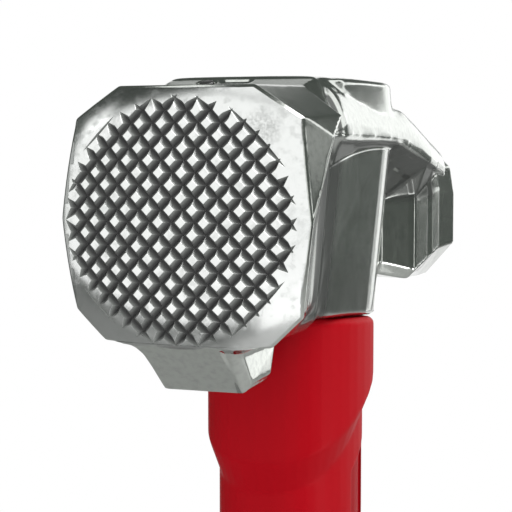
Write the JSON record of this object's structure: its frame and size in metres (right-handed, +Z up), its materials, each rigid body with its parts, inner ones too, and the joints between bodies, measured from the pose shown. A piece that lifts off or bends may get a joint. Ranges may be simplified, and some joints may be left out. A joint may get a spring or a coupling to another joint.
{
  "type": "lineman hammer",
  "caption": "Heavy two-faced hand hammer with a milled square face, a faceted smooth poll, a magnetic nail starter and a jacketed fibreglass handle with a rubber grip and tether hole.",
  "frame": {"origin": "centre of the butt's flat end, on the handle's axis", "axes": "+Z up the handle to the head, +Y from the milled face to the poll, +X to the right of someone who faces along +Y"},
  "size_m": [0.0446, 0.114, 0.38],
  "materials": {
    "forged_steel": "satin forged and ground steel",
    "magnet": "dark plated",
    "fibreglass": "bare glass fibre and resin",
    "epoxy": "cast resin",
    "cap_plastic": "moulded black",
    "red_jacket": "satin moulded red",
    "black_rubber": "textured matt rubber",
    "butt_rubber": "smooth matt rubber",
    "bush_steel": "turned steel"
  },
  "bodies": {
    "root": {"hammer_head": "forged_steel", "nail_magnet": "magnet", "handle_core": "fibreglass", "eye_bond": "epoxy", "eye_cap": "cap_plastic", "handle_jacket": "red_jacket", "grip_sleeve": "black_rubber", "butt_cap": "butt_rubber", "tether_bush": "bush_steel"}
  },
  "joints": []
}
